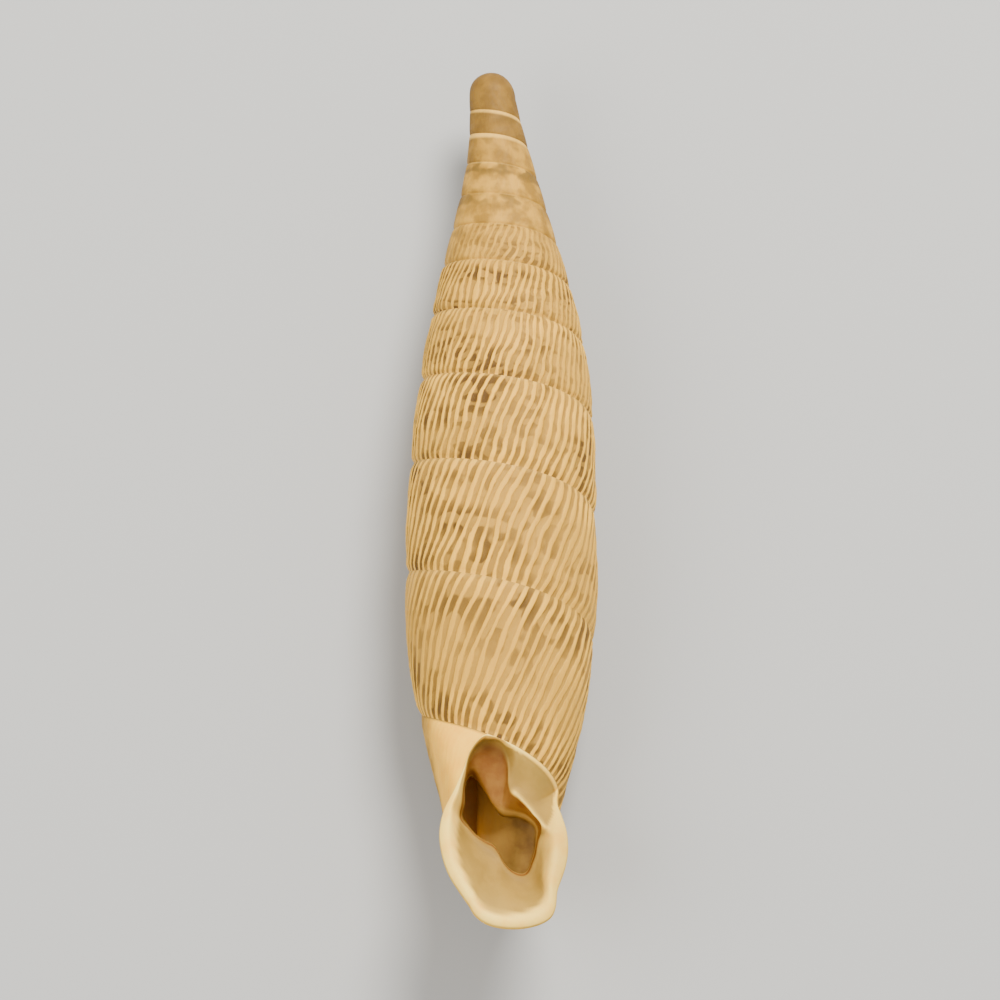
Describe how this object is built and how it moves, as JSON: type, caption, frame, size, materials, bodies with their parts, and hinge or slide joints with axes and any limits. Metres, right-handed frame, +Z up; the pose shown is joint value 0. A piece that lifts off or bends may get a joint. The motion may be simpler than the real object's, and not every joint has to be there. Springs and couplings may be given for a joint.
{
  "type": "snail shell",
  "caption": "Slender left-coiled door-snail shell, hollow, with a pear-shaped mouth, folds in the throat and a thick turned-out lip, lying on its back.",
  "frame": {"origin": "centre of the bounding box's bottom face, on the surface that the shell lies on", "axes": "+Y along the shell's axis towards the tip, +Z up and out of the mouth, +X to the right when the mouth is seen with the tip up"},
  "size_m": [0.004, 0.02, 0.004],
  "materials": {
    "shell": "satin"
  },
  "bodies": {
    "root": {"snail_shell": "shell"}
  },
  "joints": []
}
